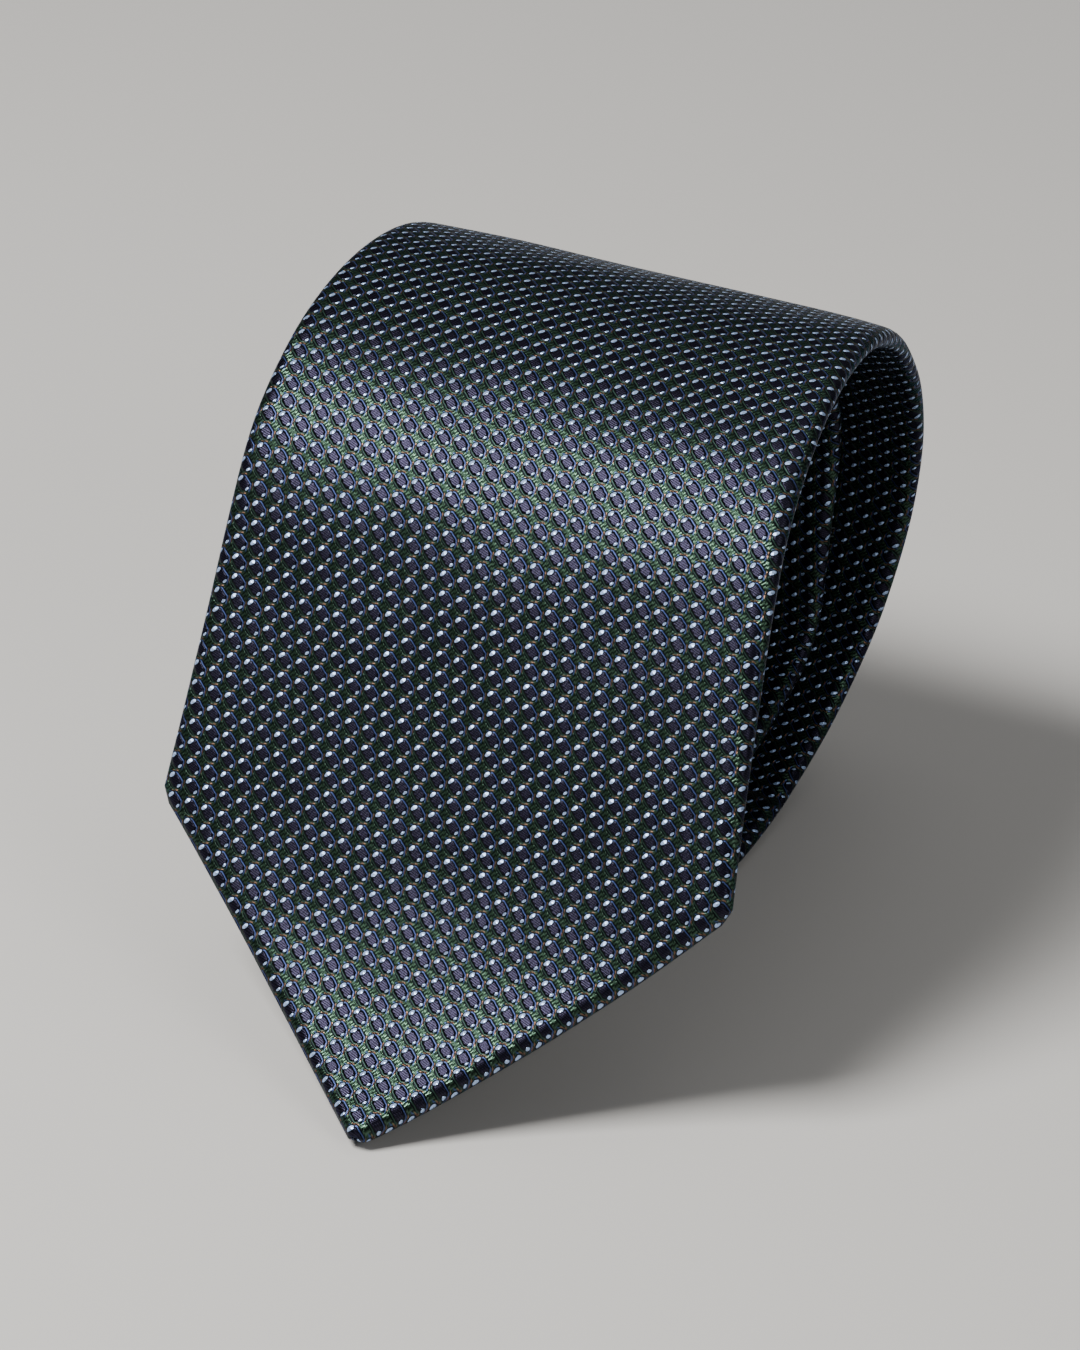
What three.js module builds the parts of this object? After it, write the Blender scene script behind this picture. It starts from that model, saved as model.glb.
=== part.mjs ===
// A silk necktie, rolled up from its narrow end as it is kept on a shelf.
//
// The wide blade is the outermost turn. Its point comes down the front and
// rests on the table, and the rest of the tie winds inwards to an open core.
// The tie is described twice over: flat, as a stack of cloth layers, and then
// rolled, along a profile of arcs and one oval spiral.
//
//   flat:   u across the tie, s along it from the blade's point, depth from
//           the face side of the blade towards its back
//   rolled: +X along the roll's axis, -Y towards the point, +Z up, in mm
import * as THREE from "three";

// ---- Flat sizes of the tie ------------------------------------------------
const TIE_LENGTH = 1480;
const BLADE_WIDTH = 85;
const SHOULDER_WIDTH = 62; // where the blade's quick taper ends
const SHOULDER_AT = 250;
const NECK_WIDTH = 38;
const NECK_FROM = 700;
const NECK_TO = 1000;
const TAIL_WIDTH = 43;
const POINT_BLUNT = 2; // half width of the blunt end of each point

// ---- Layers ---------------------------------------------------------------
const CLOTH = 0.6;
const INTERLINING = 1.2;
const LAYER_GAP = 0.3; // clear space kept between neighbouring pieces
const FOLD_ROOM = 0.6; // clear space between the interlining and the folded edge
const THREAD = 0.4;
const WRAP_GAP = 1.2; // air between one turn of the roll and the next

// ---- Sewing ---------------------------------------------------------------
const SEAM_HALF = 0.75; // half of the slit between the two folded flaps
const STITCH_SWING = 0.2; // how far the slip stitch steps to each side
const BLADE_SEAM_AT = 640; // blade cloth ends and neck cloth begins
const TAIL_SEAM_AT = 900; // neck cloth ends and tail cloth begins
const PIECING_GAP = 1.0;
const BLADE_HEM = 12;
const BLADE_OPENING = 80; // from the point to where the flaps meet
const TAIL_HEM = 8;
const TAIL_OPENING = 46;
const OPENING_SPREAD = 0.8; // how fast the flaps part, per mm
const TACK_WIDTH = 8;
const TACK_LENGTH = 1.5;
const KEEPER_AT = 212;
const KEEPER_LENGTH = 44;
const KEEPER_WIDTH = 10;
const KEEPER_BOW = 2.2; // the loop stands this far off the blade
const LABEL_AT = 26;
const LABEL_WIDTH = 20;
const LABEL_LENGTH = 18;
const LABEL_CLOTH = 0.3;

// ---- Roll profile, with headings in degrees up from +Y --------------------
const POINT_LIFT = 0.4; // how far the blade's point hangs above the table
const POINT_HEADING = 26;
const FRONT_HEADING = 61;
const RISE_RADIUS = 66;
const FRONT_RUN = 40;
const BROW_RADIUS = 44;
const CROWN_HEADING = -4;
const CROWN_RADIUS = 52;
const BACK_HEADING = -68;
const BACK_RADIUS = 34;
const HEEL_HEADING = -140;
const HEEL_RADIUS = 57;
const TOE_RADIUS = 30; // where the second turn starts up inside the flap
const INNER_BACK_FROM = -54;
const INNER_BACK_RADIUS = 24;
const INNER_BACK_HEADING = -95;
const INNER_HEEL_RADIUS = 14;
const INNER_HEEL_HEADING = -160;
const OPEN_CORE = 6; // mean radius of the hole left in the middle
const CORE_SLENDERNESS = 0.9; // short axis over long axis of the oval
const CORE_TILT = 45;
const ASKEW = 11; // sideways drift of the outer turn as it was rolled
const HINGE_AT = 96; // the flap lifts about this line, on the face side

// ---- How finely the roll is cut into flat facets --------------------------
const STATION_TURN = 20;
const STATION_RUN = 15;
const WALK_STEP = 0.5;
const FIRST_HALF_HEIGHT = 35;
const FIT_PASSES = 4;

const THICKNESS = 2 * (CLOTH + LAYER_GAP) + INTERLINING;
const PITCH = THICKNESS + WRAP_GAP;
const FULL_TURN = 360;
const BLADE_CORNER = BLADE_WIDTH / 2 - POINT_BLUNT;
const TAIL_CORNER = TIE_LENGTH - (TAIL_WIDTH / 2 - POINT_BLUNT);
const KEEPER_FROM = KEEPER_AT - KEEPER_WIDTH / 2;
const KEEPER_TO = KEEPER_AT + KEEPER_WIDTH / 2;

const radians = THREE.MathUtils.degToRad;
const degrees = THREE.MathUtils.radToDeg;

// ---- The roll's profile ---------------------------------------------------
// Vectors here are (y, z). A clockwise turn, seen from +X, rolls inwards.
const along = (heading) =>
  new THREE.Vector2(Math.cos(radians(heading)), Math.sin(radians(heading)));
const inward = (heading) =>
  new THREE.Vector2(Math.sin(radians(heading)), -Math.cos(radians(heading)));

function arcMove(radius, from, to) {
  const side = Math.sign(from - to) * radius;
  return inward(from).sub(inward(to)).multiplyScalar(side);
}

// The multiples of two directions that add up to a given move.
function splitMove(move, first, second) {
  const cross = first.cross(second);
  return [move.cross(second) / cross, first.cross(move) / cross];
}

// An oval with its long axis tilted up from +Y.
class Oval {
  constructor(long, short, tilt) {
    this.long = long;
    this.short = short;
    this.tilt = tilt;
  }

  point(angle, shrink = 0) {
    const y = (this.long - shrink) * Math.cos(angle);
    const z = (this.short - shrink) * Math.sin(angle);
    return new THREE.Vector2(y, z).rotateAround(new THREE.Vector2(), radians(this.tilt));
  }

  angleAt(heading) {
    const local = radians(heading - this.tilt);
    return Math.atan2(Math.cos(local) / this.long, -Math.sin(local) / this.short);
  }

  reach(direction) {
    const local = direction.clone().rotateAround(new THREE.Vector2(), -radians(this.tilt));
    return Math.hypot(this.long * local.x, this.short * local.y);
  }
}

// A walk along the profile that leaves a sample at every step.
class Walk {
  constructor(start, heading) {
    this.at = start.clone();
    this.heading = heading;
    this.run = 0;
    this.samples = [{ s: 0, at: start.clone(), heading }];
  }

  step(length, at, heading) {
    this.run += length;
    this.at.copy(at);
    this.heading = heading;
    this.samples.push({ s: this.run, at: at.clone(), heading });
  }

  line(length) {
    const steps = Math.max(1, Math.ceil(length / WALK_STEP));
    for (let i = 0; i < steps; i += 1) {
      const at = this.at.clone().addScaledVector(along(this.heading), length / steps);
      this.step(length / steps, at, this.heading);
    }
  }

  arc(radius, heading) {
    const from = this.heading;
    const length = radius * radians(Math.abs(heading - from));
    const steps = Math.ceil(length / WALK_STEP);
    for (let i = 0; i < steps; i += 1) {
      const next = from + ((heading - from) * (i + 1)) / steps;
      const at = this.at.clone().add(arcMove(radius, this.heading, next));
      this.step(length / steps, at, next);
    }
  }

  spiral(oval, centre, pitch, until) {
    const start = oval.angleAt(this.heading);
    let angle = start;
    while (this.run < until) {
      const shrink = ((start - angle) / (2 * Math.PI)) * pitch;
      const speed = oval.point(angle + Math.PI / 2, shrink).length();
      angle -= WALK_STEP / speed;
      const at = oval.point(angle, shrink).add(centre);
      const move = at.clone().sub(this.at);
      const bend = degrees(along(this.heading).cross(move.clone().normalize()));
      this.step(move.length(), at, this.heading + bend);
    }
  }
}

function walkOuterTurn() {
  const standing = POINT_LIFT + THICKNESS * Math.cos(radians(POINT_HEADING));
  const walk = new Walk(new THREE.Vector2(0, standing), POINT_HEADING);
  walk.arc(RISE_RADIUS, FRONT_HEADING);
  const frontFrom = walk.at.clone();
  walk.line(FRONT_RUN);
  const frontTo = walk.at.clone();
  walk.arc(BROW_RADIUS, CROWN_HEADING);
  walk.arc(CROWN_RADIUS, BACK_HEADING);
  walk.arc(BACK_RADIUS, -90);
  const lowBack = arcMove(BACK_RADIUS, -90, HEEL_HEADING);
  const heel = arcMove(HEEL_RADIUS, HEEL_HEADING, -180);
  walk.line(walk.at.y + lowBack.y + heel.y); // down as far as the table allows
  walk.arc(BACK_RADIUS, HEEL_HEADING);
  walk.arc(HEEL_RADIUS, -180);
  return { walk, frontFrom, frontTo };
}

// Winds the whole tie round a core that fills an oval of the given half height.
function walkAround(halfHeight) {
  const { walk, frontFrom, frontTo } = walkOuterTurn();

  // The sole lies on the table until the second turn just clears the flap.
  const intoRoll = inward(FRONT_HEADING);
  const toe = arcMove(TOE_RADIUS, -180, FRONT_HEADING - FULL_TURN);
  const depthAfterToe = walk.at.clone().add(toe).sub(frontFrom).dot(intoRoll);
  const sole = { from: walk.run };
  walk.line((depthAfterToe - PITCH) / intoRoll.x);
  sole.to = walk.run;
  walk.arc(TOE_RADIUS, FRONT_HEADING - FULL_TURN);
  const innerFront = walk.at.clone();
  walk.line(frontTo.clone().sub(walk.at).dot(along(FRONT_HEADING)));
  walk.arc(BROW_RADIUS - PITCH, CROWN_HEADING - FULL_TURN);
  walk.arc(CROWN_RADIUS - PITCH, INNER_BACK_FROM - FULL_TURN);
  walk.arc(INNER_BACK_RADIUS, INNER_BACK_HEADING - FULL_TURN);

  // The core stands on the sole, behind the second turn's front.
  const long = halfHeight / new Oval(1, CORE_SLENDERNESS, CORE_TILT).reach(along(90));
  const oval = new Oval(long, long * CORE_SLENDERNESS, CORE_TILT);
  const outOfRoll = intoRoll.clone().negate();
  const centre = new THREE.Vector2(0, PITCH + halfHeight);
  const front = innerFront.dot(outOfRoll) - PITCH - oval.reach(outOfRoll);
  centre.x = (front - centre.y * outOfRoll.y) / outOfRoll.x;

  // Two straights join the second turn to the core.
  const joinHeading = INNER_HEEL_HEADING - FULL_TURN;
  const backHeading = INNER_BACK_HEADING - FULL_TURN;
  const join = oval.point(oval.angleAt(joinHeading)).add(centre);
  const left = join.sub(walk.at).sub(arcMove(INNER_HEEL_RADIUS, backHeading, joinHeading));
  const [drop, under] = splitMove(left, along(backHeading), along(joinHeading));
  walk.line(drop);
  walk.arc(INNER_HEEL_RADIUS, joinHeading);
  walk.line(under);
  const wound = TIE_LENGTH - walk.run;
  walk.spiral(oval, centre, PITCH, TIE_LENGTH + STATION_RUN);
  return { samples: walk.samples, sole, wound, oval };
}

// What is wound into the core covers its length times the pitch, side on, so
// the oval is as large as that area and the open core together.
function walkProfile() {
  let halfHeight = FIRST_HALF_HEIGHT;
  let found = walkAround(halfHeight);
  for (let pass = 0; pass < FIT_PASSES; pass += 1) {
    const area = found.wound * PITCH + Math.PI * OPEN_CORE ** 2;
    halfHeight *= Math.sqrt(area / (Math.PI * found.oval.long * found.oval.short));
    found = walkAround(halfHeight);
  }
  return found;
}

const { samples: PROFILE, sole: SOLE } = walkProfile();

function profileAt(s) {
  const next = Math.max(1, PROFILE.findIndex((sample) => sample.s >= s));
  const before = PROFILE[next - 1];
  const after = PROFILE[next];
  const share = (s - before.s) / (after.s - before.s);
  const at = before.at.clone().lerp(after.at, share);
  return { at, heading: THREE.MathUtils.lerp(before.heading, after.heading, share) };
}

// ---- Flat outline of the tie ----------------------------------------------
const HALF_WIDTHS = [
  [0, POINT_BLUNT],
  [BLADE_CORNER, BLADE_WIDTH / 2],
  [SHOULDER_AT, SHOULDER_WIDTH / 2],
  [NECK_FROM, NECK_WIDTH / 2],
  [NECK_TO, NECK_WIDTH / 2],
  [TAIL_CORNER, TAIL_WIDTH / 2],
  [TIE_LENGTH, POINT_BLUNT],
];

function halfWidth(s) {
  const next = Math.max(1, HALF_WIDTHS.findIndex(([at]) => at >= s));
  const [fromS, from] = HALF_WIDTHS[next - 1];
  const [toS, to] = HALF_WIDTHS[next];
  return THREE.MathUtils.mapLinear(s, fromS, toS, from, to);
}

// Half of the space between the folded flaps: a slit, which opens near a point.
function flapEdge(s) {
  const nearBlade = s < TIE_LENGTH / 2;
  const fromPoint = nearBlade ? s : TIE_LENGTH - s;
  const opening = nearBlade ? BLADE_OPENING : TAIL_OPENING;
  const hem = nearBlade ? BLADE_HEM : TAIL_HEM;
  const spread = (opening - fromPoint) * OPENING_SPREAD;
  return Math.max(SEAM_HALF, Math.min(halfWidth(s) - hem, spread));
}

function centreLine(s) {
  return -ASKEW * THREE.MathUtils.clamp((s - BLADE_CORNER) / (SHOULDER_AT - BLADE_CORNER), 0, 1);
}

// ---- Where the linings and stitch lines begin and end ----------------------
const BLADE_TIPPING_FROM = BLADE_HEM - POINT_BLUNT + 2 * SEAM_HALF;
const BLADE_TIPPING_TO = BLADE_OPENING - (2 * SEAM_HALF) / OPENING_SPREAD;
const TAIL_TIPPING_FROM = TIE_LENGTH - TAIL_OPENING + (2 * SEAM_HALF) / OPENING_SPREAD;
const TAIL_TIPPING_TO = TIE_LENGTH - (TAIL_HEM - POINT_BLUNT + 2 * SEAM_HALF);
const SEAM_FROM = BLADE_OPENING + TACK_LENGTH;
const SEAM_TO = TIE_LENGTH - TAIL_OPENING - TACK_LENGTH;

// ---- Stations along the tie -----------------------------------------------
// Every layer is cut at the same stations, so facets of neighbours stay apart.
function cutStations() {
  const keys = HALF_WIDTHS.map(([at]) => at);
  keys.push(POINT_BLUNT, TIE_LENGTH - POINT_BLUNT, HINGE_AT, BLADE_SEAM_AT, TAIL_SEAM_AT);
  keys.push(BLADE_HEM - POINT_BLUNT, BLADE_OPENING - (BLADE_WIDTH / 2 - BLADE_HEM) / OPENING_SPREAD);
  keys.push(BLADE_OPENING, TIE_LENGTH - TAIL_OPENING, KEEPER_FROM, KEEPER_TO);
  keys.push(BLADE_TIPPING_FROM, BLADE_TIPPING_TO, TAIL_TIPPING_FROM, TAIL_TIPPING_TO);
  keys.push(SEAM_FROM, SEAM_TO);
  keys.push(SOLE.from, SOLE.to); // so that one facet lies flat on the table
  const cuts = [...keys];
  let last = PROFILE[0];
  for (const sample of PROFILE) {
    const turned = Math.abs(sample.heading - last.heading) >= STATION_TURN;
    if (turned || sample.s - last.s >= STATION_RUN) {
      last = sample;
      if (keys.every((key) => Math.abs(key - sample.s) > 1)) cuts.push(sample.s);
    }
  }
  return cuts.sort((a, b) => a - b);
}

const STATIONS = cutStations();

function stationsBetween(from, to) {
  return [from, ...STATIONS.filter((s) => s > from + WALK_STEP && s < to - WALK_STEP), to];
}

// ---- Cloth layers ---------------------------------------------------------
// A cross-section is drawn with x in multiples of an edge that moves with s,
// or in mm, and y as depth. across(x, s, index) gives the real distance.
function layer(section, stations, across) {
  const steps = stations.length - 1;
  const shape = new THREE.Shape(section.map(([x, depth]) => new THREE.Vector2(x, depth)));
  const geometry = new THREE.ExtrudeGeometry(shape, { depth: steps, steps, bevelEnabled: false });
  const position = geometry.attributes.position;
  for (let i = 0; i < position.count; i += 1) {
    const index = Math.round(position.getZ(i));
    const s = stations[index];
    const u = across(position.getX(i), s, index);
    const { at, heading } = profileAt(s);
    const rolled = at.addScaledVector(inward(heading), position.getY(i));
    position.setXYZ(i, centreLine(s) + u, rolled.x, rolled.y);
  }
  geometry.computeVertexNormals();
  return geometry;
}

const rectangle = (left, right, low, high) => [
  [left, low],
  [right, low],
  [right, high],
  [left, high],
];

// Stops across the folded shell, from the middle outwards.
const FLAP = 1;
const LINING = 2;
const FOLD = 3;

function foldedShell(from, to) {
  const inner = THICKNESS - CLOTH;
  const section = [
    [-FOLD, 0],
    [FOLD, 0],
    [FOLD, THICKNESS],
    [FLAP, THICKNESS],
    [FLAP, inner],
    [LINING, inner],
    [LINING, CLOTH],
    [-LINING, CLOTH],
    [-LINING, inner],
    [-FLAP, inner],
    [-FLAP, THICKNESS],
    [-FOLD, THICKNESS],
  ];
  const across = (stop, s) => {
    const reach = { [FLAP]: flapEdge(s), [LINING]: halfWidth(s) - CLOTH, [FOLD]: halfWidth(s) };
    return Math.sign(stop) * reach[Math.abs(stop)];
  };
  return layer(section, stationsBetween(from, to), across);
}

function liningPiece(from, to) {
  const low = CLOTH + LAYER_GAP;
  const across = (side, s) => side * (halfWidth(s) - CLOTH - FOLD_ROOM);
  return layer(rectangle(-1, 1, low, low + INTERLINING), stationsBetween(from, to), across);
}

function tippingPiece(from, to) {
  const across = (side, s) => side * (flapEdge(s) - LAYER_GAP);
  const section = rectangle(-1, 1, THICKNESS - CLOTH, THICKNESS);
  return layer(section, stationsBetween(from, to), across);
}

// ---- Threads and trims ----------------------------------------------------
// A flat strip in mm, with its depth counted from the back of the tie.
function strip(left, right, from, to, low, high) {
  const section = rectangle(left, right, THICKNESS + low, THICKNESS + high);
  return layer(section, stationsBetween(from, to), (x) => x);
}

function slipStitch(from, to) {
  const inset = (CLOTH - THREAD) / 2;
  const section = rectangle(-THREAD / 2, THREAD / 2, THICKNESS - CLOTH + inset, THICKNESS - inset);
  const zigzag = (x, s, index) => x + (index % 2 === 0 ? STITCH_SWING : -STITCH_SWING);
  return layer(section, stationsBetween(from, to), zigzag);
}

function edgeStitch(side, from, to) {
  const low = THICKNESS + LAYER_GAP;
  const section = rectangle(-THREAD / 2, THREAD / 2, low, low + THREAD);
  return layer(section, stationsBetween(from, to), (x, s) => x + side * flapEdge(s));
}

function piecingStitch(s) {
  const reach = halfWidth(s) - CLOTH - LAYER_GAP;
  const inset = (CLOTH - THREAD) / 2;
  const section = rectangle(-reach, reach, inset, CLOTH - inset);
  return layer(section, [s - THREAD / 2, s + THREAD / 2], (x) => x);
}

function barTack(s) {
  const half = TACK_WIDTH / 2;
  return strip(-half, half, s, s + TACK_LENGTH, LAYER_GAP, LAYER_GAP + THREAD);
}

const KEEPER_SEGMENTS = 12;

function keeperLoop() {
  const half = KEEPER_LENGTH / 2;
  const bow = (x) => LAYER_GAP + KEEPER_BOW * (1 - (x / half) ** 4);
  const under = [];
  const over = [];
  for (let i = 0; i <= KEEPER_SEGMENTS; i += 1) {
    const x = THREE.MathUtils.lerp(-half, half, i / KEEPER_SEGMENTS);
    under.push([x, THICKNESS + bow(x)]);
    over.unshift([x, THICKNESS + bow(x) + CLOTH]);
  }
  return layer([...under, ...over], stationsBetween(KEEPER_FROM, KEEPER_TO), (x) => x);
}

// The stitches that hold the loop's two ends, just outside them.
function keeperStitch(side) {
  const near = KEEPER_LENGTH / 2 + LAYER_GAP;
  const [left, right] = [side * near, side * (near + THREAD)].sort((a, b) => a - b);
  return strip(left, right, KEEPER_FROM, KEEPER_TO, LAYER_GAP, LAYER_GAP + THREAD);
}

function careLabel() {
  const half = LABEL_WIDTH / 2;
  const to = LABEL_AT + LABEL_LENGTH;
  return strip(-half, half, LABEL_AT, to, LAYER_GAP, LAYER_GAP + LABEL_CLOTH);
}

function careLabelStitch() {
  const half = LABEL_WIDTH / 2;
  const from = LABEL_AT + LABEL_LENGTH + LAYER_GAP;
  return strip(-half, half, from, from + THREAD, LAYER_GAP, LAYER_GAP + THREAD);
}

// ---- Materials ------------------------------------------------------------
const cloth = (color, roughness) =>
  new THREE.MeshStandardMaterial({ color, roughness, metalness: 0 });
const SILK = cloth(0x2f4048, 0.55);
const WOOL = cloth(0xb9b4a8, 0.95);
const THREADS = cloth(0x1c2a2e, 0.7);
const LABEL = cloth(0x20262c, 0.6);

// ---- Assembly -------------------------------------------------------------
const tie = new THREE.Group();

function add(name, geometry, material) {
  const mesh = new THREE.Mesh(geometry, material);
  mesh.name = name;
  tie.add(mesh);
}

const HINGE_GAP = LAYER_GAP / 2; // on each side of the hinge line

add("blade_shell_front", foldedShell(0, HINGE_AT - HINGE_GAP), SILK);
add("blade_shell_roll", foldedShell(HINGE_AT + HINGE_GAP, BLADE_SEAM_AT - PIECING_GAP / 2), SILK);
add("neck_shell", foldedShell(BLADE_SEAM_AT + PIECING_GAP / 2, TAIL_SEAM_AT - PIECING_GAP / 2), SILK);
add("tail_shell", foldedShell(TAIL_SEAM_AT + PIECING_GAP / 2, TIE_LENGTH), SILK);

add("interlining_front", liningPiece(POINT_BLUNT, HINGE_AT - HINGE_GAP), WOOL);
add("interlining_roll", liningPiece(HINGE_AT + HINGE_GAP, TIE_LENGTH - POINT_BLUNT), WOOL);
add("blade_tipping", tippingPiece(BLADE_TIPPING_FROM, BLADE_TIPPING_TO), SILK);
add("tail_tipping", tippingPiece(TAIL_TIPPING_FROM, TAIL_TIPPING_TO), SILK);

add("slip_stitch_front", slipStitch(SEAM_FROM, HINGE_AT - HINGE_GAP), THREADS);
add("slip_stitch_roll", slipStitch(HINGE_AT + HINGE_GAP, SEAM_TO), THREADS);
add("blade_bar_tack", barTack(BLADE_OPENING), THREADS);
add("tail_bar_tack", barTack(TIE_LENGTH - TAIL_OPENING - TACK_LENGTH), THREADS);
add("blade_neck_seam", piecingStitch(BLADE_SEAM_AT), THREADS);
add("neck_tail_seam", piecingStitch(TAIL_SEAM_AT), THREADS);
add("keeper_loop", keeperLoop(), SILK);
add("care_label", careLabel(), LABEL);
add("care_label_stitch", careLabelStitch(), THREADS);

for (const [name, side] of [["left", -1], ["right", 1]]) {
  const tacked = LAYER_GAP + TACK_LENGTH;
  const tailTackTo = TIE_LENGTH - TAIL_OPENING + tacked;
  add(`blade_hem_stitch_${name}`, edgeStitch(side, BLADE_TIPPING_FROM, BLADE_TIPPING_TO), THREADS);
  add(`tail_hem_stitch_${name}`, edgeStitch(side, tailTackTo, TAIL_TIPPING_TO), THREADS);
  add(`keeper_stitch_${name}`, keeperStitch(side), THREADS);
}

// The origin is the middle of the space the roll covers, on the table.
const space = new THREE.Box3().setFromObject(tie);
const middle = space.getCenter(new THREE.Vector3());
tie.position.set(-middle.x, -middle.y, -space.min.z);

export default tie;
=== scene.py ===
"""A rolled silk necktie: the looks of every cloth, thread and trim around the CAD frame.

Flat cloth is described in mm by u (across), s (along, from the blade's point) and depth
(from the face side inwards). rolled() lays it on the roll's profile, in metres.
"""
import math

import bpy
import numpy as np
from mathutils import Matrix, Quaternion, Vector


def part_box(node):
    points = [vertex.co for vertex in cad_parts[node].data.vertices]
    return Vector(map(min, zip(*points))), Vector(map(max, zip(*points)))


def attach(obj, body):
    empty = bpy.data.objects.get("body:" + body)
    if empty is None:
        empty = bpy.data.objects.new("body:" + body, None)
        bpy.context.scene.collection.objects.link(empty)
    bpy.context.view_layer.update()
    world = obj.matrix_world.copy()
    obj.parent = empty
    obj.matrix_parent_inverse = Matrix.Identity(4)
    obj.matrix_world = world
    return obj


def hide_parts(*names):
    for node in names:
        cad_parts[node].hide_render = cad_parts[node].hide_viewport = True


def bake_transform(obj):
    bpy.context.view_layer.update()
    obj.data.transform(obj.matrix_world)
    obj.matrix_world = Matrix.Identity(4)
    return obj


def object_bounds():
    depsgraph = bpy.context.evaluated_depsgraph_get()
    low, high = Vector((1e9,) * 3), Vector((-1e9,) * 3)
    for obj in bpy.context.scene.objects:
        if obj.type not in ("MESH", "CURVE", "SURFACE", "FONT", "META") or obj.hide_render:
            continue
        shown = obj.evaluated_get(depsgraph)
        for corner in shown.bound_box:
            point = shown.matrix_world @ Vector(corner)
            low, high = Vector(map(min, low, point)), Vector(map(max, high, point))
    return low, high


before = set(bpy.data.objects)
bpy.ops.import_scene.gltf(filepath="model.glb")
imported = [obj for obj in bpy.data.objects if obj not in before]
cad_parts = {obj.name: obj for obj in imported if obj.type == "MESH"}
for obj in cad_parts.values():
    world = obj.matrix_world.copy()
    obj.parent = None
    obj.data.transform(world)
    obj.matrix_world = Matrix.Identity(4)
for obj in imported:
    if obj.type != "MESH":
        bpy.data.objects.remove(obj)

CAD_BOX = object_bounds()
MM = 0.001

# ---- Flat sizes of the tie, as the CAD has them (mm) -------------------------
TIE_LENGTH = 1480.0
BLADE_WIDTH = 85.0
SHOULDER_WIDTH = 62.0
SHOULDER_AT = 250.0
NECK_WIDTH = 38.0
NECK_FROM = 700.0
NECK_TO = 1000.0
TAIL_WIDTH = 43.0
POINT_BLUNT = 2.0
CLOTH = 0.6
INTERLINING = 1.2
LAYER_GAP = 0.3
WRAP_GAP = 1.2
BLADE_SEAM_AT = 640.0
TAIL_SEAM_AT = 900.0
BLADE_HEM = 12.0
BLADE_OPENING = 80.0
TAIL_HEM = 8.0
TAIL_OPENING = 46.0
OPENING_SPREAD = 0.8
KEEPER_AT = 212.0
KEEPER_LENGTH = 44.0
KEEPER_WIDTH = 10.0
KEEPER_BOW = 2.2
LABEL_AT = 26.0
LABEL_WIDTH = 20.0
LABEL_LENGTH = 18.0

# ---- Roll profile: headings in degrees up from +Y, radii in mm ---------------
POINT_LIFT = 0.4
POINT_HEADING = 26.0
FRONT_HEADING = 61.0
RISE_RADIUS = 66.0
FRONT_RUN = 40.0
BROW_RADIUS = 44.0
CROWN_HEADING = -4.0
CROWN_RADIUS = 52.0
BACK_HEADING = -68.0
BACK_RADIUS = 34.0
HEEL_HEADING = -140.0
HEEL_RADIUS = 57.0
TOE_RADIUS = 30.0
INNER_BACK_FROM = -54.0
INNER_BACK_RADIUS = 24.0
INNER_BACK_HEADING = -95.0
INNER_HEEL_RADIUS = 14.0
INNER_HEEL_HEADING = -160.0
OPEN_CORE = 6.0
CORE_SLENDERNESS = 0.9
CORE_TILT = 45.0
ASKEW = 11.0

THICKNESS = 2 * (CLOTH + LAYER_GAP) + INTERLINING
PITCH = THICKNESS + WRAP_GAP
FULL_TURN = 360.0
BLADE_CORNER = BLADE_WIDTH / 2 - POINT_BLUNT
TAIL_CORNER = TIE_LENGTH - (TAIL_WIDTH / 2 - POINT_BLUNT)
WALK_STEP = 0.5
FIRST_HALF_HEIGHT = 35.0
FIT_PASSES = 4

# ---- Looks-only sizes (mm) ---------------------------------------------------
LOOP_END = 255.5  # the outer turn and the inner blade meet here, under the roll
FOLD_SOFTNESS = 2.3  # how far the soft edge reaches in from each side
SLIT = 0.12  # half of the closed slit between the flaps
SHARP_POINT = 2.4  # the blunt width left at each pointed end
THREAD_RADIUS = 0.16
SMOOTHING = 5.0  # evens the outer turn's arcs into one easy curve
SMOOTHING_FADE = 20.0  # the evening fades out over this length before LOOP_END
SEAM_GAP = 0.04  # keeps two lengths of silk apart on each side of a piecing seam
LOOP_GAP = 0.02  # keeps the two halves of the blade apart at LOOP_END


# ---- The roll's profile ------------------------------------------------------
def along(heading):
    return np.array([math.cos(math.radians(heading)), math.sin(math.radians(heading))])


def inward(heading):
    return np.array([math.sin(math.radians(heading)), -math.cos(math.radians(heading))])


def arc_move(radius, start, end):
    return math.copysign(radius, start - end) * (inward(start) - inward(end))


def split_move(move, first, second):
    """The multiples of two directions that add up to a given move."""
    cross = np.cross(first, second)
    return np.cross(move, second) / cross, np.cross(first, move) / cross


class Oval:
    """An oval with its long axis tilted up from +Y."""

    def __init__(self, long, short, tilt):
        self.long, self.short, self.tilt = long, short, math.radians(tilt)

    def point(self, angle, shrink=0.0):
        y = (self.long - shrink) * math.cos(angle)
        z = (self.short - shrink) * math.sin(angle)
        cos, sin = math.cos(self.tilt), math.sin(self.tilt)
        return np.array([y * cos - z * sin, y * sin + z * cos])

    def angle_at(self, heading):
        local = math.radians(heading) - self.tilt
        return math.atan2(math.cos(local) / self.long, -math.sin(local) / self.short)

    def reach(self, direction):
        cos, sin = math.cos(self.tilt), math.sin(self.tilt)
        y = direction[0] * cos + direction[1] * sin
        z = direction[1] * cos - direction[0] * sin
        return math.hypot(self.long * y, self.short * z)


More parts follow.
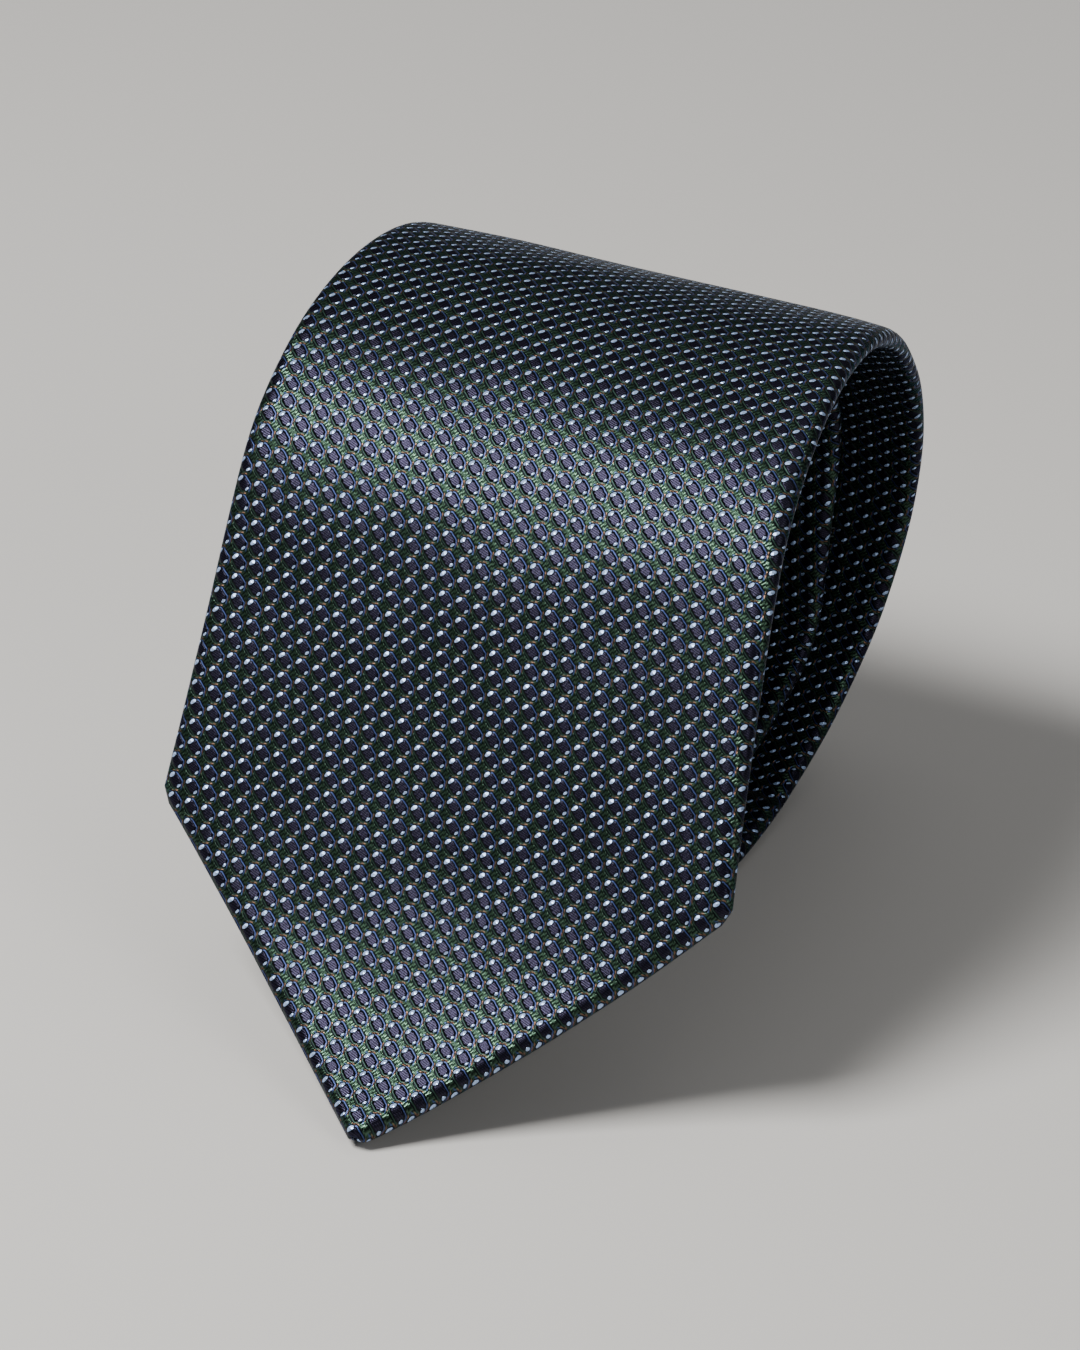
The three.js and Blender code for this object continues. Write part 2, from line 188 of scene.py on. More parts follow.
class Walk:
    """A walk along the profile that leaves a sample at every step."""

    def __init__(self, start, heading):
        self.at, self.heading, self.run = np.array(start, float), heading, 0.0
        self.samples = [(0.0, *self.at)]

    def step(self, length, at, heading):
        self.run += length
        self.at, self.heading = np.array(at, float), heading
        self.samples.append((self.run, *self.at))

    def line(self, length):
        steps = max(1, math.ceil(length / WALK_STEP))
        for _ in range(steps):
            self.step(length / steps, self.at + along(self.heading) * length / steps, self.heading)

    def arc(self, radius, heading):
        start = self.heading
        length = radius * math.radians(abs(heading - start))
        steps = math.ceil(length / WALK_STEP)
        for i in range(steps):
            following = start + (heading - start) * (i + 1) / steps
            self.step(length / steps, self.at + arc_move(radius, self.heading, following), following)

    def spiral(self, oval, centre, pitch, until):
        start = angle = oval.angle_at(self.heading)
        while self.run < until:
            shrink = (start - angle) / (2 * math.pi) * pitch
            angle -= WALK_STEP / np.linalg.norm(oval.point(angle + math.pi / 2, shrink))
            at = oval.point(angle, shrink) + centre
            self.step(float(np.linalg.norm(at - self.at)), at, self.heading)


def walk_around(half_height):
    """The profile wound round a core that fills an oval of the given half height."""
    standing = POINT_LIFT + THICKNESS * math.cos(math.radians(POINT_HEADING))
    walk = Walk((0.0, standing), POINT_HEADING)
    walk.arc(RISE_RADIUS, FRONT_HEADING)
    front_from = walk.at
    walk.line(FRONT_RUN)
    front_to = walk.at
    walk.arc(BROW_RADIUS, CROWN_HEADING)
    walk.arc(CROWN_RADIUS, BACK_HEADING)
    walk.arc(BACK_RADIUS, -90.0)
    low_back = arc_move(BACK_RADIUS, -90.0, HEEL_HEADING)
    heel = arc_move(HEEL_RADIUS, HEEL_HEADING, -180.0)
    walk.line(walk.at[1] + low_back[1] + heel[1])
    walk.arc(BACK_RADIUS, HEEL_HEADING)
    walk.arc(HEEL_RADIUS, -180.0)

    into_roll = inward(FRONT_HEADING)
    toe = arc_move(TOE_RADIUS, -180.0, FRONT_HEADING - FULL_TURN)
    depth_after_toe = (walk.at + toe - front_from) @ into_roll
    walk.line((depth_after_toe - PITCH) / into_roll[0])
    walk.arc(TOE_RADIUS, FRONT_HEADING - FULL_TURN)
    inner_front = walk.at
    walk.line((front_to - walk.at) @ along(FRONT_HEADING))
    walk.arc(BROW_RADIUS - PITCH, CROWN_HEADING - FULL_TURN)
    walk.arc(CROWN_RADIUS - PITCH, INNER_BACK_FROM - FULL_TURN)
    walk.arc(INNER_BACK_RADIUS, INNER_BACK_HEADING - FULL_TURN)

    long = half_height / Oval(1.0, CORE_SLENDERNESS, CORE_TILT).reach(along(90.0))
    oval = Oval(long, long * CORE_SLENDERNESS, CORE_TILT)
    out_of_roll = -into_roll
    low = PITCH + half_height
    front = inner_front @ out_of_roll - PITCH - oval.reach(out_of_roll)
    centre = np.array([(front - low * out_of_roll[1]) / out_of_roll[0], low])
    join_heading = INNER_HEEL_HEADING - FULL_TURN
    back_heading = INNER_BACK_HEADING - FULL_TURN
    join = oval.point(oval.angle_at(join_heading)) + centre
    left = join - walk.at - arc_move(INNER_HEEL_RADIUS, back_heading, join_heading)
    drop, under = split_move(left, along(back_heading), along(join_heading))
    walk.line(drop)
    walk.arc(INNER_HEEL_RADIUS, join_heading)
    walk.line(under)
    wound = TIE_LENGTH - walk.run
    walk.spiral(oval, centre, PITCH, TIE_LENGTH + 2 * SMOOTHING)
    return np.array(walk.samples), wound, oval


def walk_profile():
    """The oval is as large as the cloth wound into it and the open core together."""
    half_height = FIRST_HALF_HEIGHT
    samples, wound, oval = walk_around(half_height)
    for _ in range(FIT_PASSES):
        area = wound * PITCH + math.pi * OPEN_CORE**2
        half_height *= math.sqrt(area / (math.pi * oval.long * oval.short))
        samples, wound, oval = walk_around(half_height)
    return samples


def eased(samples):
    """The profile with the outer turn's arcs evened into one another."""
    s = np.arange(-4 * SMOOTHING, samples[-1, 0], WALK_STEP)
    tangent = along(POINT_HEADING)
    y = np.interp(s, samples[:, 0], samples[:, 1]) + np.minimum(s, 0) * tangent[0]
    z = np.interp(s, samples[:, 0], samples[:, 2]) + np.minimum(s, 0) * tangent[1]
    reach = int(3 * SMOOTHING / WALK_STEP)
    kernel = np.exp(-0.5 * (np.arange(-reach, reach + 1) * WALK_STEP / SMOOTHING) ** 2)
    kernel /= kernel.sum()
    soft_y, soft_z = (np.convolve(np.pad(v, reach, "edge"), kernel, "valid") for v in (y, z))
    share = np.clip((s + 2 * SMOOTHING) / SMOOTHING, 0, 1) * np.clip((LOOP_END - s) / SMOOTHING_FADE, 0, 1)
    y, z = y + (soft_y - y) * share, z + (soft_z - z) * share
    return s, y, z, np.unwrap(np.arctan2(np.gradient(z), np.gradient(y)))


PROFILE = eased(walk_profile())
FRONT_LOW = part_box("blade_shell_front")[0]
SHIFT_X = FRONT_LOW.x / MM + BLADE_WIDTH / 2
SHIFT_Y = FRONT_LOW.y / MM
LEAN_SHARE = 1.22  # the looks lean a little more than the CAD
LEAN = LEAN_SHARE * ASKEW / (SHOULDER_AT - BLADE_CORNER)
LEAN_FADE = 60.0  # the lean ends over this length, centred on the shoulder
SLANT_SHARE = 0.7  # how much of the lean also turns the cloth's cross-lines
BACK_FROM = 285.0  # the second turn is drawn back between these two places
BACK_TO = 395.0
BACK_BY = 3.2
DRIFT_MARGIN = 20.0


def lean_at(s):
    """How fast the tie drifts to the left, per mm of its length; the second turn drifts back."""
    back = np.clip((s - BACK_FROM) / (BACK_TO - BACK_FROM), 0, 1)
    drift_back = BACK_BY / (BACK_TO - BACK_FROM) * (1 - np.cos(2 * np.pi * back))
    return LEAN * np.clip((SHOULDER_AT + LEAN_FADE / 2 - s) / LEAN_FADE, 0, 1) - drift_back


DRIFT_S = np.arange(-DRIFT_MARGIN, TIE_LENGTH + DRIFT_MARGIN, 1.0)
DRIFT = np.concatenate([[0], np.cumsum(-lean_at(DRIFT_S[:-1]))])
DRIFT -= np.interp(BLADE_CORNER, DRIFT_S, DRIFT)


def rolled(u, s, depth):
    """Points of the flat tie laid on the roll, in metres."""
    u, s, depth = (np.asarray(v, float) for v in (u, s, depth))
    place = s + u * lean_at(s) * SLANT_SHARE
    heading = np.interp(place, PROFILE[0], PROFILE[3])
    y = np.interp(place, PROFILE[0], PROFILE[1]) + np.sin(heading) * depth + SHIFT_Y
    z = np.interp(place, PROFILE[0], PROFILE[2]) - np.cos(heading) * depth
    x = u + np.interp(s, DRIFT_S, DRIFT) + SHIFT_X
    return np.stack(np.broadcast_arrays(x, y, z), -1) * MM


# ---- Flat outline ------------------------------------------------------------
WIDTH_AT = np.array([0, BLADE_CORNER, SHOULDER_AT, NECK_FROM, NECK_TO, TAIL_CORNER, TIE_LENGTH])
WIDTHS = np.array([SHARP_POINT, BLADE_WIDTH, SHOULDER_WIDTH, NECK_WIDTH, NECK_WIDTH, TAIL_WIDTH, SHARP_POINT])


def half_width(s):
    return np.interp(s, WIDTH_AT, WIDTHS / 2)


def flap_edge(s):
    """Half of the space between the folded flaps: a closed slit that opens near a point."""
    s = np.asarray(s, float)
    near = s < TIE_LENGTH / 2
    from_point = np.where(near, s, TIE_LENGTH - s)
    opening = np.where(near, BLADE_OPENING, TAIL_OPENING)
    hem = np.where(near, BLADE_HEM, TAIL_HEM)
    spread = (opening - from_point) * OPENING_SPREAD
    return np.maximum(SLIT, np.minimum(half_width(s) - hem, spread))


# ---- Meshes ------------------------------------------------------------------
def new_piece(name, vertices, faces, flat, material, wear=None):
    """A smooth mesh object with its cloth coordinates in mm on the UV map named flat."""
    mesh = bpy.data.meshes.new(name)
    mesh.from_pydata(np.asarray(vertices).tolist(), [], faces)
    corners = np.empty(len(mesh.loops), int)
    mesh.loops.foreach_get("vertex_index", corners)
    mesh.uv_layers.new(name="flat").data.foreach_set("uv", np.asarray(flat)[corners].ravel())
    if wear is not None:
        both = np.stack([wear, np.zeros_like(wear)], -1)
        mesh.uv_layers.new(name="wear").data.foreach_set("uv", both[corners].ravel())
    mesh.shade_smooth()
    mesh.materials.append(material)
    piece = bpy.data.objects.new(name, mesh)
    bpy.context.scene.collection.objects.link(piece)
    return piece


def skin(name, points, flat, material, wear=None):
    """A closed thin body: rings of points along it, each ring out along one side and back."""
    rings, around = points.shape[:2]
    index = np.arange(rings * around).reshape(rings, around)
    following = np.roll(index, -1, axis=1)
    sides = np.stack([index[:-1], index[1:], following[1:], following[:-1]], -1).reshape(-1, 4)
    half = around // 2
    out = np.arange(half - 1)
    back = around - 1 - out
    first = np.stack([index[0][out], index[0][out + 1], index[0][back - 1], index[0][back]], -1)
    last = np.stack([index[-1][out], index[-1][back], index[-1][back - 1], index[-1][out + 1]], -1)
    faces = np.concatenate([sides, first, last]).tolist()
    wear = None if wear is None else wear.reshape(-1)
    return new_piece(name, points.reshape(-1, 3), faces, flat.reshape(-1, 2), material, wear)


END_THINNING = np.array([0.35, 0.8])  # rounds the two long edges of a thin body


def thickened(u, depth, half_thickness):
    """Both sides of a path of (u, depth) points in each ring, as one closed ring."""
    along_u, along_depth = np.gradient(u, axis=1), np.gradient(depth, axis=1)
    length = np.hypot(along_u, along_depth)
    thinning = np.ones(u.shape[1])
    thinning[:2] = END_THINNING
    thinning[-2:] = END_THINNING[::-1]
    reach = half_thickness * thinning
    off_u, off_depth = -along_depth / length * reach, along_u / length * reach
    both_u = np.concatenate([u + off_u, (u - off_u)[:, ::-1]], axis=1)
    both_depth = np.concatenate([depth + off_depth, (depth - off_depth)[:, ::-1]], axis=1)
    return both_u, both_depth


DENSE_OFFSETS = (-2.0, -1.2, -0.8, -0.4, 0.4, 0.8, 1.2, 2.0)


def stations(start, end, step, dense=()):
    """Places along the tie, with more of them beside each place in dense."""
    places = list(np.linspace(start, end, max(2, math.ceil((end - start) / step) + 1)))
    for place in dense:
        places += [place + offset for offset in DENSE_OFFSETS]
    places = np.unique(np.round(places, 3))
    return places[(places >= start) & (places <= end)]


PRESSING_PITCH = 130.0  # the fine ripple comes and goes over this length


def swell(u, s, height, along, across, start):
    """One slanting wave over the cloth, with its pitch along and across the tie in mm."""
    return height * np.sin(2 * np.pi * (s / along + u / across) + start)


def ripple(u, s):
    """Slight unevenness of hand-pressed silk, in mm of depth."""
    broad = swell(u, s, height=0.13, along=47.0, across=83.0, start=1.1)
    fine = swell(u, s, height=0.07, along=19.0, across=-41.0, start=2.3)
    finest = 0.05 * np.sin(u / 4.1 + s / 5.3)
    return broad + (fine + finest) * np.sin(2 * np.pi * s / PRESSING_PITCH + 0.4)


EDGE_EASING = 0.45  # how far the edges bend in towards the roll


def laid(u, s, depth):
    """rolled(), with the pressed unevenness and the edges eased in towards the roll."""
    crown = EDGE_EASING * np.clip(np.abs(u) / half_width(s), 0, 1) ** 4
    points = rolled(u, s, depth + crown + ripple(u, s))
    points[..., 2] = np.maximum(points[..., 2], 0.0)
    return points


# ---- The folded silk shell ---------------------------------------------------
FLAP_POINTS = 11
FOLD_POINTS = 11
FACE_POINTS = 33
POINT_ROUNDING = 2.2
SEAM_DIP = 0.28
SEAM_DIP_REACH = 0.8
EDGE_WAVER = 0.18
EDGE_WAVER_PITCH = 13.7
WAVER_FROM_POINT = 30.0
FOLD_SQUARENESS = 0.85  # 1 makes each fold an ellipse, less makes it fuller
WEAR_AND_SHEEN_SHARE = 0.6  # how much of each soft edge is rubbed and lightened with a painted sheen
SLAB_STEP = 2.0  # the length between two cross-sections of a layer inside the fold


def fold_path(s):
    """The middle of the cloth in each cross-section, from one flap's edge to the other's."""
    half, slit = half_width(s)[:, None], flap_edge(s)[:, None]
    to_point = np.minimum(s, TIE_LENGTH - s)[:, None]
    rounding = np.sqrt(1 - (1 - np.clip(to_point / POINT_ROUNDING, 0.05, 1)) ** 2)
    dip = sum(np.exp(-(((s - seam) / SEAM_DIP_REACH) ** 2)) for seam in (BLADE_SEAM_AT, TAIL_SEAM_AT))
    lift = (THICKNESS / 2 - CLOTH / 2) * rounding - SEAM_DIP * dip[:, None]
    waver_share = np.clip(to_point / WAVER_FROM_POINT, 0, 1)
    edge_waver = EDGE_WAVER * np.sin(s / EDGE_WAVER_PITCH + 0.5)[:, None] * waver_share
    half = half + edge_waver
    soft = np.minimum(FOLD_SOFTNESS, half / 2)
    reach = half - CLOTH / 2 - soft
    share = np.linspace(0, 1, FLAP_POINTS)[:-1]
    flap_u = slit + (reach - slit) * share
    turn = np.linspace(math.pi / 2, -math.pi / 2, FOLD_POINTS)
    fold_u = reach + soft * np.cos(turn).clip(0) ** FOLD_SQUARENESS
    fold_depth = lift * np.sign(np.sin(turn)) * np.abs(np.sin(turn)) ** FOLD_SQUARENESS
    face_u = reach * np.linspace(1, -1, FACE_POINTS)[1:-1]
    flap_depth = lift * np.ones_like(flap_u)
    u = np.concatenate([flap_u, fold_u, face_u, -fold_u[:, ::-1], -flap_u[:, ::-1]], axis=1)
    depth = np.concatenate([flap_depth, fold_depth, -lift * np.ones_like(face_u),
                            fold_depth[:, ::-1], flap_depth[:, ::-1]], axis=1)
    return u, THICKNESS / 2 + depth


def cloth_shell(name, start, end, step):
    s = stations(start, end, step, dense=[0, BLADE_SEAM_AT, TAIL_SEAM_AT, TIE_LENGTH])
    u, depth = fold_path(s)
    arc = np.concatenate([np.zeros((len(s), 1)), np.cumsum(np.hypot(np.diff(u), np.diff(depth)), 1)], 1)
    cut_width = arc[:, -1].copy()
    arc = cut_width[:, None] / 2 - arc
    ring_u, ring_depth = thickened(u, depth, CLOTH / 2)
    ring_arc = np.concatenate([arc, arc[:, ::-1]], 1)
    ring_s = np.broadcast_to(s[:, None], ring_u.shape)
    beside_fold = half_width(s)[:, None] - np.abs(ring_u)
    wear = np.clip(1 - beside_fold / (FOLD_SOFTNESS * WEAR_AND_SHEEN_SHARE), 0, 1)
    piece = skin(name, laid(ring_u, ring_s, ring_depth), np.stack([ring_arc, ring_s], -1),
                 SILK, wear)
    area = float(np.sum((cut_width[1:] + cut_width[:-1]) / 2 * np.diff(s))) * MM**2
    return piece


def inner_slab(name, start, end, reach, middle, thickness, points, material):
    """A flat layer inside the fold, as wide as reach(s) on each side."""
    s = stations(start, end, SLAB_STEP)
    half = reach(s)[:, None]
    u = half * np.linspace(1, -1, points)
    depth = np.full(u.shape, middle)
    ring_u, ring_depth = thickened(u, depth, thickness / 2)
    ring_s = np.broadcast_to(s[:, None], ring_u.shape)
    flat = np.stack([np.concatenate([u, u[:, ::-1]], 1), ring_s], -1)
    piece = skin(name, laid(ring_u, ring_s, ring_depth), flat, material)
    area = float(np.sum((half[1:, 0] + half[:-1, 0]) * np.diff(s))) * MM**2
    (end - start) * MM
    return piece


# ---- Threads -----------------------------------------------------------------
TACK_LENGTH = 1.5
THREAD_SIDES = 6
THREAD_END = 0.45  # how thick a stitch's ends are, as a share of the thread


def threads(name, paths):
    """Short thread tubes; each path is a list of (u, s, depth) points, all equally many."""
    paths = np.asarray(paths, float)
    count, steps = paths.shape[:2]
    ahead = np.gradient(paths, axis=1)
    ahead /= np.linalg.norm(ahead, axis=-1, keepdims=True)
    aside = np.cross(ahead, np.array([0.0, 0.0, 1.0]))
    aside /= np.linalg.norm(aside, axis=-1, keepdims=True)
    above = np.cross(aside, ahead)
    turn = np.arange(THREAD_SIDES) * 2 * np.pi / THREAD_SIDES
    thin = np.ones(steps)
    thin[[0, -1]] = THREAD_END
    reach = THREAD_RADIUS * thin[None, :, None, None]
    ring = paths[:, :, None] + reach * (aside[:, :, None] * np.cos(turn)[:, None]
                                        + above[:, :, None] * np.sin(turn)[:, None])
    vertices = laid(ring[..., 0], ring[..., 1], ring[..., 2]).reshape(-1, 3)
    index = np.arange(count * steps * THREAD_SIDES).reshape(count, steps, THREAD_SIDES)
    following = np.roll(index, -1, axis=2)
    sides = np.stack([index[:, :-1], following[:, :-1], following[:, 1:], index[:, 1:]], -1)
    faces = sides.reshape(-1, 4).tolist() + index[:, 0, ::-1].tolist() + index[:, -1].tolist()
    run = np.cumsum(np.linalg.norm(np.diff(paths, axis=1, prepend=paths[:, :1]), axis=-1), 1)
    flat = np.stack(np.broadcast_arrays(turn / (2 * np.pi), run[:, :, None]), -1).reshape(-1, 2)
    return new_piece(name, vertices, faces, flat, THREAD)


def over_stitch(start, end, rise=0.22, sink=0.3):
    """A stitch that comes up, crosses and goes down again, as (u, s, depth) points."""
    start, end = np.array(start, float), np.array(end, float)
    hump = np.array([-sink, 0.3 * rise, rise, 0.3 * rise, -sink])
    share = np.array([0.0, 0.18, 0.5, 0.82, 1.0])
    points = start + (end - start) * share[:, None]
    points[:, 2] += hump
    return points


def slip_stitches(name, start, end):
    """Small ladder stitches that draw the two flaps together."""
    pitch, reach, lean = 6.2, 0.85, 0.5
    places = np.arange(start, end, pitch)
    return threads(name, [over_stitch((-reach, s, THICKNESS), (reach, s + lean, THICKNESS)) for s in places])


def hem_stitches(name, side, start, end):
    """Pick stitches that hold the lining to the folded edge."""
    pitch, reach, lean, drop = 3.4, 0.7, 0.9, 0.35
    paths = []
    for s in np.arange(start, end, pitch):
        edge = float(flap_edge(s))
        outer = (side * (edge + reach), s, THICKNESS)
        inner = (side * (edge - reach), s + lean, THICKNESS - drop)
        paths.append(over_stitch(outer, inner))
    return threads(name, paths)


def bar_tack(name, start):
    """A dense bar of thread across the end of the seam, bound round with small stitches."""
    width, bars, bar_rise = 8.0, 6, 0.3
    binders, overlap, binder_lean, binder_rise = 9, 0.3, 0.3, 0.55
    paths = []
    for i in range(bars):
        s = start + TACK_LENGTH * i / (bars - 1)
        paths.append(over_stitch((-width / 2, s, THICKNESS), (width / 2, s, THICKNESS), bar_rise))
    for i in range(binders):
        u = width * ((i + 0.5) / binders - 0.5)
        before = (u, start - overlap, THICKNESS)
        after = (u + binder_lean, start + TACK_LENGTH + overlap, THICKNESS)
        paths.append(over_stitch(before, after, binder_rise))
    return threads(name, paths)


def piecing_seam(name, at):
    """Machine stitches that join two lengths of silk, sunk into the seam's groove."""
    pitch, length, depth, rise, sink = 2.4, 1.9, 0.42, -0.16, -0.25
    half = float(half_width(at)) - FOLD_SOFTNESS
    starts = np.arange(-half, half - length, pitch)
    return threads(name, [over_stitch((u, at, depth), (u + length, at, depth), rise, sink) for u in starts])


# ---- Keeper loop and label ---------------------------------------------------
KEEPER_POINTS_ALONG = 45
KEEPER_POINTS_AROUND = 20
KEEPER_HALF_THICKNESS = 0.62 * CLOTH
KEEPER_SQUARENESS = 0.35  # 1 makes the strap's section an ellipse, less makes it squarer
KEEPER_FLATNESS = 0.6
KEEPER_WAIST = 0.03  # how much narrower the strap is in the middle
KEEPER_WEAR_AND_SHEEN = 1.2  # how far its edges are rubbed and lightened with a painted sheen
KEEPER_PATTERN_SHIFT = (4.0, -7.0)  # it is cut elsewhere on the silk, so its figures don't line up


def keeper_depth(u):
    half = KEEPER_LENGTH / 2
    return THICKNESS + LAYER_GAP + KEEPER_BOW * (1 - np.clip(np.abs(u) / half, 0, 1) ** 4)


def keeper_loop():
    """A folded strap of the tie's own silk across its back, sewn down at both ends."""
    half_length, half_width_mm = KEEPER_LENGTH / 2, KEEPER_WIDTH / 2
    u = np.linspace(-half_length, half_length, KEEPER_POINTS_ALONG)[:, None]
    turn = (np.arange(KEEPER_POINTS_AROUND) + 0.5) * 2 * np.pi / KEEPER_POINTS_AROUND
    cos, sin = np.cos(turn), np.sin(turn)
    across = np.sign(cos) * np.abs(cos) ** KEEPER_SQUARENESS * half_width_mm
    waist = 1 - KEEPER_WAIST * np.cos(np.pi * u / KEEPER_LENGTH) ** 2
    thick = KEEPER_HALF_THICKNESS * np.sign(sin) * np.abs(sin) ** KEEPER_FLATNESS
    s = KEEPER_AT + across * waist
    depth = keeper_depth(u) + CLOTH / 2 + thick
    u, s, depth = np.broadcast_arrays(u, s, depth)
    flat = np.stack([u + KEEPER_PATTERN_SHIFT[0], s + KEEPER_PATTERN_SHIFT[1]], -1)
    wear = np.clip(1 - (half_width_mm - np.abs(s - KEEPER_AT)) / KEEPER_WEAR_AND_SHEEN, 0, 1)
    strap = skin("keeper_loop_strap", laid(u, s, depth), flat, SILK, wear)
    return strap


def keeper_stitches(name, side):
    """Whipping stitches over one end of the keeper loop."""
    end, count, spread = KEEPER_LENGTH / 2, 7, 0.86
    on_strap, on_cloth, lean, rise, sink = 1.0, 0.8, 0.35, 0.35, 0.25
    over_strap, over_cloth = THICKNESS + LAYER_GAP + CLOTH + 0.35, THICKNESS + 0.05
    paths = []
    for i in range(count):
        s = KEEPER_AT + KEEPER_WIDTH * spread * (i / (count - 1) - 0.5)
        inner = (side * (end - on_strap), s, over_strap)
        outer = (side * (end + on_cloth), s + lean, over_cloth)
        paths.append(over_stitch(inner, outer, rise, sink))
    return threads(name, paths)


LABEL_HALF_THICKNESS = 0.16
LABEL_CORNER = 0.6  # the rounding of its corners
LABEL_SUNK = 0.2  # how far it lies below the back of the flaps, onto the lining
LABEL_END_CURL = 0.35
LABEL_SIDE_CURL = 0.12
LABEL_POINTS_ALONG = 25
LABEL_POINTS_ACROSS = 21


def care_label():
    """A blank woven tape that lies on the lining, with slightly lifted corners."""
    half, corner = LABEL_WIDTH / 2, LABEL_CORNER
    s = np.linspace(LABEL_AT, LABEL_AT + LABEL_LENGTH, LABEL_POINTS_ALONG)[:, None]
    from_end = np.minimum(s - LABEL_AT, LABEL_AT + LABEL_LENGTH - s)
    reach = half - corner * (1 - np.sqrt(1 - (1 - np.clip(from_end / corner, 0, 1)) ** 2))
    u = reach * np.linspace(1, -1, LABEL_POINTS_ACROSS)
    to_end = (s - LABEL_AT) / LABEL_LENGTH - 1
    curl = LABEL_END_CURL * to_end ** 4 + LABEL_SIDE_CURL * (u / half) ** 4
    depth = THICKNESS - LABEL_SUNK + curl
    ring_u, ring_depth = thickened(u, depth, LABEL_HALF_THICKNESS)
    ring_s = np.broadcast_to(s, ring_u.shape)
    flat = np.stack([np.concatenate([u, u[:, ::-1]], 1), ring_s], -1)
    piece = skin("care_label_tape", laid(ring_u, ring_s, ring_depth), flat, LABEL)
    return piece


def care_label_stitches():
    """One row of machine stitches across the label's upper end."""
    pitch, length, depth, rise, sink = 1.9, 1.3, THICKNESS - 0.04, 0.2, 0.2
    reach = LABEL_WIDTH / 2 - 1.2
    at = LABEL_AT + LABEL_LENGTH - 0.9
    starts = np.arange(-reach, reach - 0.5, pitch)
    paths = [over_stitch((u, at, depth), (u + length, at, depth), rise, sink) for u in starts]
    return threads("care_label_stitches", paths)


# ---- Materials ---------------------------------------------------------------
class Value:
    """A shader socket that takes part in arithmetic."""

    def __init__(self, tree, socket):
        self.tree, self.socket = tree, socket

    def apply(self, operation, *others):
        node = self.tree.nodes.new("ShaderNodeMath")
        node.operation = operation
        for place, item in zip(node.inputs, (self, *others)):
            if isinstance(item, Value):
                self.tree.links.new(item.socket, place)
            else:
                place.default_value = item
        return Value(self.tree, node.outputs[0])

    def __add__(self, other):
        return self.apply("ADD", other)

    def __sub__(self, other):
        return self.apply("SUBTRACT", other)

    def __mul__(self, other):
        return self.apply("MULTIPLY", other)

    def __truediv__(self, other):
        return self.apply("DIVIDE", other)

    def size(self):
        return self.apply("ABSOLUTE")

    def wave(self, pitch):
        """A wave from 0 to 1 that repeats at every pitch."""
        return (self * (2 * math.pi / pitch)).apply("SINE") * 0.5 + 0.5

    def ramp(self, low, high):
        """Smoothly from 0 at low to 1 at high; low may be the larger."""
        node = self.tree.nodes.new("ShaderNodeMapRange")
        node.interpolation_type = "SMOOTHSTEP"
        self.tree.links.new(self.socket, node.inputs["Value"])
        flipped = low > high
        node.inputs["From Min"].default_value = min(low, high)
        node.inputs["From Max"].default_value = max(low, high)
        node.inputs["To Min"].default_value = 1.0 if flipped else 0.0
        node.inputs["To Max"].default_value = 0.0 if flipped else 1.0
        return Value(self.tree, node.outputs["Result"])


def srgb(red, green, blue):
    """A screen colour, 0 to 255, as the shader's linear colour."""
    channels = (c / 255 for c in (red, green, blue))
    return (*(c / 12.92 if c <= 0.04045 else ((c + 0.055) / 1.055) ** 2.4 for c in channels), 1.0)


class Finish:
    """One material, built up from the cloth coordinates of the piece that wears it."""

    def __init__(self, name):
        self.material = bpy.data.materials.new(name)
        self.material.use_nodes = True
        self.tree = self.material.node_tree
        self.shader = self.tree.nodes["Principled BSDF"]

    def map(self, name):
        """Both coordinates of a UV map."""
        source = self.tree.nodes.new("ShaderNodeUVMap")
        source.uv_map = name
        split = self.tree.nodes.new("ShaderNodeSeparateXYZ")
        self.tree.links.new(source.outputs["UV"], split.inputs[0])
        return Value(self.tree, split.outputs["X"]), Value(self.tree, split.outputs["Y"])

    def noise(self, first, second, per_mm, detail=2.0):
        place = self.tree.nodes.new("ShaderNodeCombineXYZ")
        self.tree.links.new(first.socket, place.inputs["X"])
        self.tree.links.new(second.socket, place.inputs["Y"])
        node = self.tree.nodes.new("ShaderNodeTexNoise")
        node.inputs["Scale"].default_value = per_mm
        node.inputs["Detail"].default_value = detail
        self.tree.links.new(place.outputs[0], node.inputs["Vector"])
        return Value(self.tree, node.outputs[0])

    def mix(self, share, low, high):
        """A colour between low and high, each a colour or an earlier mix."""
        node = self.tree.nodes.new("ShaderNodeMix")
        node.data_type = "RGBA"
        self.tree.links.new(share.socket, node.inputs["Factor"])
        for place, colour in ((node.inputs[6], low), (node.inputs[7], high)):
            if isinstance(colour, tuple):
                place.default_value = colour
            else:
                self.tree.links.new(colour, place)
        return node.outputs[2]

    def colour(self, colour):
        self.tree.links.new(colour, self.shader.inputs["Base Color"])

    def link(self, value, name):
        self.tree.links.new(value.socket, self.shader.inputs[name])

    def relief(self, height, strength, distance_mm):
        node = self.tree.nodes.new("ShaderNodeBump")
        node.inputs["Strength"].default_value = strength
        node.inputs["Distance"].default_value = distance_mm * MM
        self.tree.links.new(height.socket, node.inputs["Height"])
        self.tree.links.new(node.outputs["Normal"], self.shader.inputs["Normal"])

    def set(self, **sockets):
        for name, value in sockets.items():
            self.shader.inputs[name.replace("_", " ")].default_value = value


# The woven figure stands on a lattice turned 45 degrees to the tie's length (mm).
MOTIF_LONG = 4.34
MOTIF_WIDE = 3.24
BODY_HALF_LONG = 0.76
BODY_HALF_WIDE = 0.66
RIM_HALF_LONG = 1.34
RIM_HALF_WIDE = 1.1
BIG_DOT_AT = -0.98
SMALL_DOT_AT = 0.94
BIG_DOT = 0.33
SMALL_DOT = 0.22
STRIP_AT = 0.6
STRIP_FROM = 0.8
STRIP_TO = MOTIF_LONG / 2
